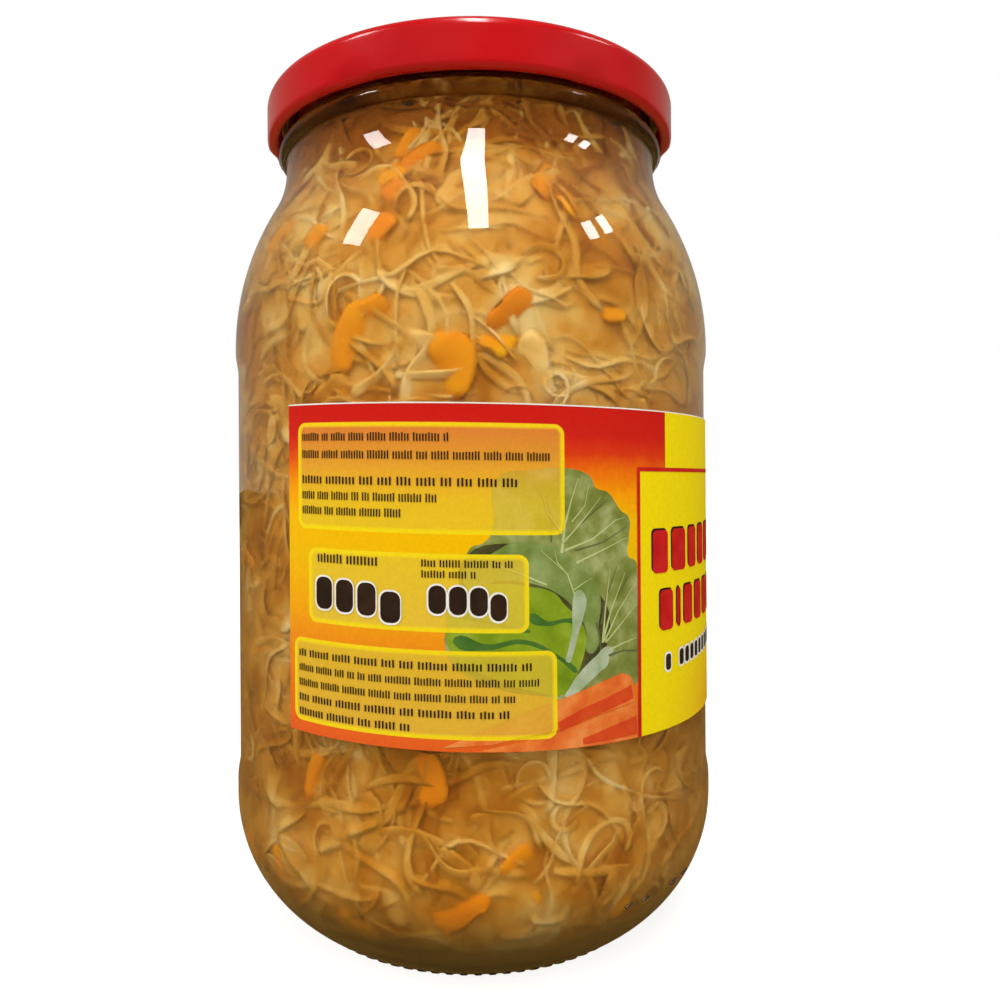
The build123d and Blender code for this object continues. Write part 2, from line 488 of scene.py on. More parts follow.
def make_heel_marks():
    """Four small raised bars on the heel, each a rounded box laid flat on it. Their dark colour is painted
    shade: clear glass drawn as dark as it looks in shadow.
    """
    centre, radius, _ = heel_circle()
    length, height, depth, skew = 1.7, 0.4, 0.45, 24
    bars = []
    for bearing, turn in ((33.4, 20.7), (38.5, 21.1), (49.3, 21.6), (55.5, 22)):
        put_down_everything()
        bpy.ops.mesh.primitive_cube_add(size=1)
        bar = bpy.context.object
        with editing(bar):
            bpy.ops.transform.resize(value=(depth * MM, length * MM, height * MM))
            bpy.ops.mesh.bevel(offset=0.13 * MM, segments=3, affect="EDGES")
        r = centre[0] + radius * math.cos(math.radians(turn))
        z = centre[1] - radius * math.sin(math.radians(turn))
        bar.data.transform(
            Matrix.Rotation(math.radians(bearing - 90), 4, "Z")
            @ Matrix.Translation(((r + 0.1) * MM, 0, z * MM))
            @ Matrix.Rotation(math.radians(turn), 4, "Y")
            @ Matrix.Rotation(math.radians(skew), 4, "X")
        )
        bars.append(bar)
    put_down_everything()
    for bar in bars:
        bar.select_set(True)
    bpy.context.view_layer.objects.active = bars[0]
    bpy.ops.object.join()
    marks = bpy.context.object
    marks.name = marks.data.name = "heel_marks"
    bpy.ops.object.shade_smooth()
    # Painted shade: the marks are coloured dark brown instead of clear glass
    material, tree, skin, output, place = new_material("painted_shade_glass")
    shade = ramp(tree, noise(tree, place, 900.0), (0.3, 40, 32, 20), (0.7, 84, 66, 40))
    set_finish(tree, skin, Base_Color=shade, Roughness=0.25)
    marks.data.materials.append(material)
    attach(marks, "root")


# ---- Lid


def make_lid():
    wall, corner, panel_drop, button_rise = 0.4, 2.0, 1.0, 0.5
    panel_z, edge = LID_TOP - panel_drop, NECK_RADIUS - WALL - 1.0
    button_z = panel_z + button_rise
    top = [(0, button_z), (8, button_z), (15.2, button_z)]
    top += eased_step(15.8, button_z, 17.2, panel_z) + [(r, panel_z) for r in (18, 26, edge - 2.2)]
    top += [(r, z) for z, r in eased_step(panel_z, edge - 1.5, LID_TOP, edge)]
    top += [(r, LID_TOP) for r in (edge + 0.6, 37.5, LID_RADIUS - corner - 0.4)]
    corner_centre = (LID_RADIUS - corner, LID_TOP - corner)
    skirt = arc(corner_centre, corner, 90, 0, 12)
    skirt += [(LID_RADIUS, z) for z in (161.8, 160.2, 158.6, 157.4)]
    curl = arc((LID_RADIUS - CURL_SIZE, CURL_HEIGHT), CURL_SIZE, 0, -312, 30)
    under = [(LID_RADIUS - wall, z) for z in (158.2, 160.4, 162.2)]
    under += arc(corner_centre, corner - wall, 0, 90, 8)
    under += [(r, z - wall) for r, z in reversed(top)]
    lid = turn_on_lathe("twist_lid", top + skirt + curl + under, 144)

    # Six lugs pressed inwards out of the rolled edge
    lug_pitch, lug_reach = 60, 8.0  # degrees
    lug_top, lug_depth, lug_lift = 158.8, 0.75, 0.28
    for vertex in lid.data.vertices:
        x, y, z = vertex.co / MM
        r = math.hypot(x, y)
        if z < lug_top and r > 38:
            turn = abs((bearing_of((x, y)) - 90 + lug_pitch / 2) % lug_pitch - lug_pitch / 2)
            press = max(0.0, 1 - (turn / lug_reach) ** 2) ** 2
            press *= max(0.0, min(1.0, (lug_top - z) / (2 * CURL_SIZE)))
            vertex.co.x *= 1 - lug_depth * press / r
            vertex.co.y *= 1 - lug_depth * press / r
            vertex.co.z += lug_lift * press * MM
    stands_for(lid, "lid")
    lid.data.materials.append(lacquer_material())


# ---- Shreds

dice = np.random.default_rng(41)

INNER_GIRTH = 290          # about the jar's inside girth
CLEARANCE = 0.12           # shreds to glass

# The inside wall as arc length, radius, height and slope, for laying shreds along it
_wall = np.array([p for p in inside_wall(0, 156.9) if p[0] >= 12])
_run = np.concatenate([[0], np.cumsum(np.hypot(*np.diff(_wall, axis=0).T))])
WALL_RUN = np.arange(0, _run[-1], 0.25)
WALL_R = np.interp(WALL_RUN, _run, _wall[:, 0])
WALL_Z = np.interp(WALL_RUN, _run, _wall[:, 1])
WALL_DR = np.gradient(WALL_R, WALL_RUN)
WALL_DZ = np.gradient(WALL_Z, WALL_RUN)


def on_wall(turn, run, depth):
    """Places inside the jar from a turn in radians from -Y, a run up the wall and a depth from it."""
    run = np.clip(run, 0, WALL_RUN[-1])
    r = np.interp(run, WALL_RUN, WALL_R) - depth * np.interp(run, WALL_RUN, WALL_DZ)
    z = np.interp(run, WALL_RUN, WALL_Z) + depth * np.interp(run, WALL_RUN, WALL_DR)
    return np.stack([r * np.sin(turn), -r * np.cos(turn), z], -1)


def cloudiness(turn, run, seed, size):
    """Slow variation over the wall, about -1 to 1, the same for neighbours."""
    waves = np.random.default_rng(seed)
    total = np.zeros_like(turn)
    for _ in range(7):
        times_round = waves.integers(1, max(2, int(INNER_GIRTH / size)))
        up = waves.uniform(-1, 1) * math.tau / size
        total += np.sin(turn * times_round + run * up + waves.uniform(0, math.tau))
    return total / 3.2


def grain_way(turn, run):
    """The way that neighbouring shreds lie together, in radians from level."""
    broad = cloudiness(turn, run, seed=23, size=34)
    return 2.2 * broad + 0.9 * cloudiness(turn, run, seed=24, size=15)


def unseen(turn, run):
    """True well behind the label, where shreds would never show."""
    margin, low, high = 9, 52, 92
    past_left = (np.degrees(turn) + 180) % 360 - 180 - LABEL_LEFT
    z = np.interp(run, WALL_RUN, WALL_Z)
    return (past_left > margin) & (past_left < LABEL_WRAP - margin) & (z > low) & (z < high)


def unit(ways):
    return ways / (np.linalg.norm(ways, axis=2, keepdims=True) + 1e-9)


def lay_shreds(turn, run, depth, heading, bend, length, width, thickness, roll, tone, links, sides,
               weave=0.5, ends=0.45):
    """Ribbons laid along the wall. Each argument up to tone has one value for each ribbon."""
    count = len(turn)
    t = np.linspace(0, 1, links)
    step = length / (links - 1)
    phases = dice.uniform(0, math.tau, (4, count))
    places = np.zeros((count, links, 3))
    at_turn, at_run, way = turn.copy(), run.copy(), heading.copy()
    top = WALL_RUN[-1] - 0.6
    for i in range(links):
        sway = weave * np.sin(phases[0] + t[i] * length / 5.5) * np.minimum(1, depth)
        least = thickness * 0.6 + CLEARANCE
        places[:, i] = on_wall(at_turn, at_run, np.maximum(depth + sway, least))
        r = np.interp(np.clip(at_run, 0, WALL_RUN[-1]), WALL_RUN, WALL_R)
        at_turn += np.cos(way) * step / r
        at_run += np.sin(way) * step
        at_run = np.where(at_run > top, 2 * top - at_run, np.abs(at_run))
        way += step * (bend + 0.11 * np.sin(phases[1] + t[i] * length / 3.4)
                       + 0.07 * np.sin(phases[2] + t[i] * length / 1.7))
    along = unit(np.gradient(places, axis=1))
    across = unit(np.cross(along, unit(places * [1, 1, 0])))
    face = np.cross(across, along)
    twist = roll[:, None] + 0.5 * np.sin(phases[3][:, None] + t * length[:, None] / 6)
    wide = across * np.cos(twist)[..., None] + face * np.sin(twist)[..., None]
    thick = face * np.cos(twist)[..., None] - across * np.sin(twist)[..., None]
    taper = ends + (1 - ends) * np.clip(np.minimum(t, 1 - t) * 7, 0, 1) ** 0.6
    ripple = 1 + 0.18 * np.sin(phases[2][:, None] + t * length[:, None] / 2.2)
    half_w = 0.5 * width[:, None] * taper * ripple
    half_t = 0.5 * thickness[:, None] * taper
    ring = np.arange(sides) / sides * math.tau
    corners = (
        places[:, :, None]
        + wide[:, :, None] * (half_w[..., None] * np.cos(ring))[..., None]
        + thick[:, :, None] * (half_t[..., None] * np.sin(ring))[..., None]
    )
    # No corner reaches the glass
    flat = np.hypot(corners[..., 0], corners[..., 1])
    z = np.clip(corners[..., 2], FLOOR_HEIGHT + 0.15, FILL_HEIGHT - 0.2)
    order = np.argsort(WALL_Z)
    limit = np.interp(z, WALL_Z[order], WALL_R[order]) - CLEARANCE
    corners[..., :2] *= np.minimum(1, limit / flat)[..., None]
    corners[..., 2] = z
    tones = tone[:, None] + 0.05 * np.sin(phases[1][:, None] + 5 * t)
    return corners, np.broadcast_to(tones[:, :, None], (count, links, sides))


def fill_piece(name, points, faces, material):
    """A smooth piece of the contents from its points in millimetres and its faces."""
    mesh = bpy.data.meshes.new(name)
    mesh.from_pydata((points * MM).tolist(), [], faces)
    mesh.shade_smooth()
    mesh.materials.append(material)
    stands_for(put_in_scene(name, mesh), "contents")
    return mesh


def keep_tone(mesh, tones):
    mesh.attributes.new("tone", "FLOAT", "POINT").data.foreach_set("value", tones.astype(np.float32))


def knit(name, ribbons, material):
    """One piece from ribbons, each closed at both ends."""
    corners, tones = ribbons
    index = np.arange(corners[..., 0].size).reshape(corners.shape[:3])
    after = np.roll(index, -1, axis=2)
    quads = np.stack([index[:, :-1], after[:, :-1], after[:, 1:], index[:, 1:]], -1)
    faces = quads.reshape(-1, 4).tolist() + index[:, 0, ::-1].tolist() + index[:, -1].tolist()
    keep_tone(fill_piece(name, corners.reshape(-1, 3), faces, material), tones.reshape(-1))


def scatter(count, least, most, depth_low, depth_high):
    """Starting places round the wall, thinned into clumps, none well behind the label."""
    thrown = count * 3
    turn = dice.uniform(0, math.tau, thrown)
    run = dice.uniform(least, most, thrown)
    crowd = cloudiness(turn, run, seed=5, size=16)
    keep = ~unseen(turn, run) & (dice.uniform(-1.6, 1.0, thrown) < crowd)
    turn, run = turn[keep][:count], run[keep][:count]
    depth = dice.uniform(depth_low, depth_high, len(turn))
    return turn, run, depth


# Heights up the jar and how much paler or darker the cabbage is painted there: painted light on the
# shoulder, painted shade low down, where less light falls, and painted shadow of the lid under it
PAINTED_SHADE_HEIGHTS = [8, 40, 100, 135, 144, 150, 157]
PAINTED_LIGHT_AND_SHADE = [-0.18, -0.06, 0.04, 0.1, -0.3, -0.9, -1.3]
CORE_TONE = 0.46


# A piece's tone with painted shade: a little darker the deeper it lies, and lighter or darker by height as
# the painted light and shade table gives
def shade_of(run, depth, spread):
    z = np.interp(run, WALL_RUN, WALL_Z)
    return 0.55 - 0.06 * depth + np.interp(z, PAINTED_SHADE_HEIGHTS, PAINTED_LIGHT_AND_SHADE) + dice.normal(0, spread, len(run))


def make_shreds(mottle):
    top = WALL_RUN[-1]
    n, flat = dice.normal, dice.uniform

    # Ribbons that lie together in tufts, half sunk in the mass behind them. Each row has a count,
    # the depths, the widths, a thickness and an extra tone
    for name, count, low, high, least, most, thick, lift in (
        ("long_shreds", 1250, 0.5, 1.0, 0.9, 2.0, 0.17, 0.0),
        ("fine_shreds", 700, 0.4, 0.9, 0.4, 0.85, 0.14, 0.04),
    ):
        turn, run, depth = scatter(count, 0, top, low, high)
        k = len(turn)
        way = grain_way(turn, run) + n(0, 0.4, k) + math.pi * (flat(0, 1, k) < 0.5)
        tuft = lay_shreds(
            turn, run, depth, way, n(0, 0.04, k), flat(12, 30, k), flat(least, most, k),
            flat(0.7, 1.2, k) * thick, n(0, 0.2, k), shade_of(run, depth, 0.1) + lift, 13, 6,
            weave=0.25,
        )
        knit(name, tuft, cabbage_material(name + "_skin", mottle, 0.15))

    # Curled shreds
    turn, run, depth = scatter(200, 4, top - 4, 0.3, 0.85)
    k = len(turn)
    bend = flat(0.16, 0.42, k) * np.where(flat(0, 1, k) < 0.5, -1, 1)
    curls = lay_shreds(
        turn, run, depth, flat(0, math.tau, k), bend, flat(9, 22, k), flat(0.6, 1.4, k),
        flat(0.18, 0.28, k), n(0.1, 0.3, k), shade_of(run, depth, 0.07) + 0.1, 16, 6,
    )
    knit("curled_shreds", curls, cabbage_material("curled_cabbage", mottle, 0.15))

    # Soft bits of leaf, wide and nearly flat against the wall
    turn, run, depth = scatter(300, 0, top, 0.85, 1.3)
    k = len(turn)
    leaf = lay_shreds(
        turn, run, depth, flat(0, math.tau, k), n(0, 0.05, k), flat(7, 16, k), flat(3.5, 6.5, k),
        flat(0.25, 0.45, k), n(0, 0.06, k), shade_of(run, depth, 0.07) + 0.02, 10, 8,
        weave=0.3, ends=0.3,
    )
    knit("leaf_bits", leaf, cabbage_material("leaf_cabbage", mottle, 0.25))


def make_carrots():
    """Carrot strips: bearing, height, heading in degrees, length, width and depth."""
    rows = [
        (-17, 145, 80, 7, 2.6, 1.2), (-13, 142, 55, 8, 2.4, 0.8), (-20, 139, 10, 5, 3.0, 1.6),
        (-17, 135, 35, 5, 3.2, 1.0), (-20, 129, 40, 6, 3.6, 1.4), (-37, 129, 60, 5, 2.4, 1.0),
        (-27, 111, 85, 13, 3.0, 1.3), (-21, 115, 30, 7, 2.6, 1.6), (-3, 106, 88, 12, 3.6, 1.0),
        (19, 137, 75, 8, 3.6, 1.1), (25, 134, -50, 7, 2.6, 1.6), (8, 114, 35, 9, 2.6, 0.7),
        (5, 111, 20, 7, 3.4, 1.3), (31, 115, 15, 5, 1.8, 1.0), (75, 125, 85, 7, 2.6, 0.9),
        (-9, 39, -60, 9, 4.2, 1.3), (-2, 17, 5, 10, 3.4, 0.9), (-27, 12, -30, 8, 2.6, 1.3),
        (33, 15, 40, 5, 2.8, 1.0), (-36, 37, 85, 9, 1.8, 1.4), (8, 26, 60, 6, 2.2, 1.6),
        (-39, 60, 80, 8, 2.6, 1.3), (10, 19, 70, 5, 2.2, 1.5),
    ]
    while len(rows) < 92:
        bearing, z = dice.uniform(-180, 180), dice.uniform(12, 152)
        if -45 < bearing < 85:
            continue
        rows.append((bearing, z, dice.uniform(-90, 90), dice.uniform(4, 11),
                     dice.uniform(1.8, 3.8), dice.uniform(0.7, 3.0)))
    bearing, z, heading, length, width, depth = np.array(rows).T
    turn, heading = np.radians(bearing), np.radians(heading)
    rising = 60  # from here on the wall climbs, so a height has one run
    run = np.interp(z, WALL_Z[rising:], WALL_RUN[rising:])
    turn -= np.cos(heading) * length / 2 / np.interp(run, WALL_RUN, WALL_R)
    run -= np.sin(heading) * length / 2
    k = len(rows)
    strips = lay_shreds(
        turn, run, depth * 0.3 + 0.35, heading, dice.normal(0, 0.04, k), length, width * 1.8,
        dice.uniform(0.7, 1.0, k), dice.normal(0, 0.12, k), dice.uniform(0.25, 0.7, k), 9, 8,
        weave=0.3, ends=0.35,
    )
    knit("carrot_strips", strips, carrot_material())


def make_bubbles():
    """Small air bubbles caught against the wall."""
    turn, run, _ = scatter(130, 20, WALL_RUN[-1] - 4, 0, 1)
    k = len(turn)
    size = dice.uniform(0.22, 0.8, k)
    middles = on_wall(turn, run, size + 0.25)
    put_down_everything()
    bpy.ops.mesh.primitive_ico_sphere_add(subdivisions=3, radius=1)
    pattern = bpy.context.object
    shape = np.array([v.co[:] for v in pattern.data.vertices])
    rings = np.array([f.vertices[:] for f in pattern.data.polygons])
    bpy.data.objects.remove(pattern)
    points = (middles[:, None] + shape[None] * size[:, None, None]).reshape(-1, 3)
    faces = (rings[None] + np.arange(k)[:, None, None] * len(shape)).reshape(-1, 3)
    material, tree, air, output, place = new_material("trapped_air")
    film = ramp(tree, noise(tree, place, 200.0), (0.3, 0.96, 0.93, 0.86, 1), (0.7, 1, 1, 1, 1))
    set_finish(tree, air, Base_Color=film, Transmission_Weight=1.0, Roughness=0.08, IOR=1 / BRINE_IOR)
    let_lamps_through(tree, air, output)
    fill_piece("brine_bubbles", points, faces.tolist(), material)


def make_brine():
    into_wall = 0.25
    section = inside_wall(-into_wall, FILL_HEIGHT)
    brine = turn_on_lathe("brine", section + [(0, FILL_HEIGHT)], 160)
    stands_for(brine, "contents")
    brine.data.materials.append(brine_material())


def make_core(mottle):
    section = inside_wall(0.8, 152.5)
    core = turn_on_lathe("packed_core", section + [(20, 153.5), (0, 154)], 120)
    take_up(core)
    lumps = bpy.data.textures.new("lumps", "CLOUDS")
    lumps.noise_scale = 6 * MM
    swell = core.modifiers.new("swell", "DISPLACE")
    swell.texture = lumps
    swell.texture_coords = "LOCAL"
    swell.strength = 1.4 * MM
    swell.mid_level = 0.55
    bpy.ops.object.modifier_apply(modifier="swell")
    bpy.ops.object.shade_smooth()
    # The core's tone, with the painted light and shade by height added to it
    heights = np.array([v.co.z for v in core.data.vertices]) / MM
    keep_tone(core.data, np.interp(heights, PAINTED_SHADE_HEIGHTS, PAINTED_LIGHT_AND_SHADE) + CORE_TONE)
    stands_for(core, "contents")
    core.data.materials.append(cabbage_material("packed_cabbage", mottle, 0.4, 0.5))


# ---- Label

# Left, bottom, right and top of the pale boxes behind the text
TEXT_BOXES = ((2.4, 34.3, 49.0, 52.0), (4.8, 18.8, 42.9, 31.2), (1.2, 1.9, 47.5, 15.9))


def wrap_on_jar(mesh, lift):
    """Bends a flat print, x along the label and y up it, round the jar, and keeps x and y as UV.

    All prints bend at the same folds as the paper, so none cuts through another."""
    layer = mesh.uv_layers.new(name="print")
    for loop in mesh.loops:
        x, y, _ = mesh.vertices[loop.vertex_index].co / MM
        layer.data[loop.index].uv = (x / LABEL_LENGTH, y / LABEL_HEIGHT)
    for vertex in mesh.vertices:
        x, y, z = vertex.co / MM
        fold = math.floor(x / FACET + 1e-4) * FACET
        share = (x - fold) / FACET
        first, last = [math.radians(LABEL_LEFT) + at / LABEL_RADIUS for at in (fold, fold + FACET)]
        r = LABEL_RADIUS + lift + z
        side = r * (math.sin(first) * (1 - share) + math.sin(last) * share)
        front = r * (math.cos(first) * (1 - share) + math.cos(last) * share)
        vertex.co = Vector((side, -front, LABEL_LOW + y - side * LABEL_TILT)) * MM


def cut_at_folds(piece, low, high):
    """Cuts a flat piece across at the folds, so that it can bend."""
    with editing(piece):
        for fold in range(math.floor(low / FACET) + 1, math.ceil(high / FACET)):
            bpy.ops.mesh.select_all(action="SELECT")
            bpy.ops.mesh.bisect(plane_co=(fold * FACET * MM, 0, 0), plane_no=(1, 0, 0))


def oblong(x0, y0, x1, y1):
    return [(x0, y0), (x1, y0), (x1, y1), (x0, y1)]


def rounded(x0, y0, x1, y1, radius, steps=4):
    """Outline of a rectangle with round corners."""
    outline = []
    for cx, cy, start in ((x1 - radius, y1 - radius, 0), (x0 + radius, y1 - radius, 90),
                          (x0 + radius, y0 + radius, 180), (x1 - radius, y0 + radius, 270)):
        outline += arc((cx, cy), radius, start, start + 90, steps)
    return outline


def strokes(*lines):
    """Outlines of lines, each given as its width at the start and at the end, then its points."""
    outlines = []
    for start, end, *points in lines:
        points = np.array(points, float)
        along = np.gradient(points, axis=0)
        along /= np.linalg.norm(along, axis=1, keepdims=True)
        half = np.linspace(start, end, len(points))[:, None] / 2
        side = np.stack([-along[:, 1], along[:, 0]], 1) * half
        outlines.append([tuple(p) for p in points + side] + [tuple(p) for p in (points - side)[::-1]])
    return outlines


def print_ink(name, outlines, lift, material, curved=False):
    """Flat shapes of one ink, laid on the paper as a very thin skin."""
    if curved:
        flat = bpy.data.curves.new(name, "CURVE")
        flat.dimensions, flat.fill_mode = "2D", "BOTH"
        for outline in outlines:
            line = flat.splines.new("BEZIER")
            line.bezier_points.add(len(outline) - 1)
            for point, (x, y) in zip(line.bezier_points, outline):
                point.co = (x * MM, y * MM, 0)
                point.handle_left_type = point.handle_right_type = "AUTO"
            line.resolution_u = 5
            line.use_cyclic_u = True
    else:
        flat = bpy.data.meshes.new(name)
        points = [(x * MM, y * MM, 0) for outline in outlines for x, y in outline]
        ends = np.cumsum([len(outline) for outline in outlines]).tolist()
        flat.from_pydata(points, [], [list(range(a, b)) for a, b in zip([0] + ends, ends)])
    take_up(put_in_scene(name, flat))
    if curved:
        bpy.ops.object.convert(target="MESH")
    piece = bpy.context.object
    xs = [x for outline in outlines for x, _ in outline]
    cut_at_folds(piece, min(xs), max(xs))
    mesh = piece.data
    for face in mesh.polygons:
        if face.normal.z < 0:
            face.flip()
    wrap_on_jar(mesh, lift)
    bpy.ops.object.shade_smooth()
    mesh.materials.clear()
    mesh.materials.append(material)
    piece.name = mesh.name = name
    stands_for(piece, "label")


def text_box_group():
    """Tints a print's colour inside the three text boxes and draws their bright rims."""
    group, given, result = node_group(
        "text_boxes", {"Print": "Color", "Tint": "Color", "Cover": "Float"}, {"Color": "Color"}
    )
    spot = node(group, "UVMap", uv_map="print")
    flat = vectors(group, "MULTIPLY", spot, (LABEL_LENGTH, LABEL_HEIGHT, 0))
    round_corner, fill_mask, rim_mask = 1.7, 0.0, 0.0
    for x0, y0, x1, y1 in TEXT_BOXES:
        off_middle = vectors(group, "SUBTRACT", flat, ((x0 + x1) / 2, (y0 + y1) / 2, 0))
        size = vectors(group, "ABSOLUTE", off_middle)
        straight = ((x1 - x0) / 2 - round_corner, (y1 - y0) / 2 - round_corner, 0)
        past = vectors(group, "MAXIMUM", vectors(group, "SUBTRACT", size, straight), (0, 0, 0))
        reach = vectors(group, "LENGTH", past)
        inside = remap(group, reach, 1.75, 1.65)
        edge = maths(group, "SUBTRACT", inside, remap(group, reach, 1.25, 0.75), clamp=True)
        fill_mask = maths(group, "MAXIMUM", fill_mask, inside)
        rim_mask = maths(group, "MAXIMUM", rim_mask, edge)
    cover = maths(group, "MULTIPLY", fill_mask, given["Cover"])
    tinted = blend(group, cover, given["Print"], given["Tint"])
    rim = blend(group, maths(group, "MULTIPLY", rim_mask, 0.85), tinted, colour(250, 222, 16))
    plug(group, result["Color"], rim)
    return group


# The boxes' pale fill and the paper's own colour, from the bottom of the label to its top
BOX_FILL = (
    (0.02, 226, 190, 60), (0.25, 222, 190, 50), (0.36, 228, 198, 60), (0.6, 230, 196, 40),
    (0.72, 232, 196, 40), (0.82, 228, 172, 50), (0.93, 226, 142, 56),
)
PAPER = (
    (0.0, 232, 96, 34), (0.12, 236, 114, 28), (0.27, 240, 138, 24), (0.4, 246, 170, 12),
    (0.55, 244, 190, 2), (0.66, 250, 188, 0), (0.74, 250, 158, 2), (0.8, 242, 116, 6),
    (0.86, 222, 60, 16), (0.91, 210, 34, 20), (0.99, 206, 28, 18),
)


def print_material(name, shade_maker, boxes=None, cover=0.72):
    """Printed paper: a soft sheen over grain, with the ink's colours from shade_maker."""
    material, tree, skin, output, place = new_material(name)
    along, up, _ = node(tree, "SeparateXYZ", in_0=node(tree, "UVMap", uv_map="print")).outputs
    shade = shade_maker(tree, along, up, place)
    if boxes is not None:
        fill = ramp(tree, up, *BOX_FILL)
        tinted = node(tree, "Group", node_tree=boxes, in_Print=shade, in_Tint=fill, in_Cover=cover)
        shade = tinted.outputs["Color"]
    grain = noise(tree, place, 1500.0)
    fleck = ramp(tree, grain, (0.3, 0.9, 0.9, 0.9, 1), (0.7, 1, 1, 1, 1))
    set_finish(
        tree, skin, Base_Color=blend(tree, 0.7, shade, fleck, "MULTIPLY"), Roughness=0.5,
        Normal=relief(tree, grain, 0.05, 0.1), Specular_IOR_Level=0.05,
    )
    return material


def paper_shades(tree, along, up, place):
    moved = maths(tree, "MULTIPLY_ADD", noise(tree, place, 300.0, 3.0), 0.05, up)
    return ramp(tree, maths(tree, "SUBTRACT", moved, 0.025), *PAPER)


def panel_shades(tree, along, up, place):
    """Bright yellow that turns orange low down on the right."""
    warm = maths(tree, "MULTIPLY", remap(tree, along, 0.39, 0.56), remap(tree, up, 0.3, 0.0))
    return blend(tree, warm, colour(248, 222, 6), colour(244, 160, 24))


def plain_shades(*shades, scale=260.0):
    """Ink that varies a little between its shades."""
    stops = [(level, *shade) for level, shade in zip(np.linspace(0.32, 0.68, len(shades)), shades)]
    return lambda tree, along, up, place: ramp(tree, noise(tree, place, scale, 3.0), *stops)


def words(x0, x1, y, size, weight, seed):
    """A line of unreadable upright ticks in word-like clusters."""
    throw = np.random.default_rng(seed)
    ticks, x = [], x0
    while x < x1 - 0.5:
        for _ in range(throw.integers(3, 10)):
            if x > x1 - 0.4:
                break
            tall = size * throw.choice([0.62, 0.66, 0.72])
            ticks.append(oblong(x, y, x + weight, y + tall))
            x += weight * 2.05
        x += weight * 2.0
    return ticks


def make_band(material):
    """The paper band itself."""
    put_down_everything()
    bpy.ops.mesh.primitive_plane_add(size=1)
    paper = bpy.context.object
    with editing(paper):
        bpy.ops.transform.resize(value=(LABEL_LENGTH * MM, LABEL_HEIGHT * MM, 1))
        bpy.ops.transform.translate(value=(LABEL_LENGTH / 2 * MM, LABEL_HEIGHT / 2 * MM, 0))
    cut_at_folds(paper, 0, LABEL_LENGTH)
    thick = paper.modifiers.new("paper", "SOLIDIFY")
    thick.thickness, thick.offset = LABEL_THICKNESS * MM, -1
    take_up(paper)
    bpy.ops.object.modifier_apply(modifier="paper")
    wrap_on_jar(paper.data, 0)
    bpy.ops.object.shade_smooth_by_angle(angle=math.radians(40))
    paper.name = paper.data.name = "paper_band"
    paper.data.materials.append(material)
    stands_for(paper, "label")


CARROT_INK = ((222, 96, 40), (234, 120, 48), (240, 144, 74))


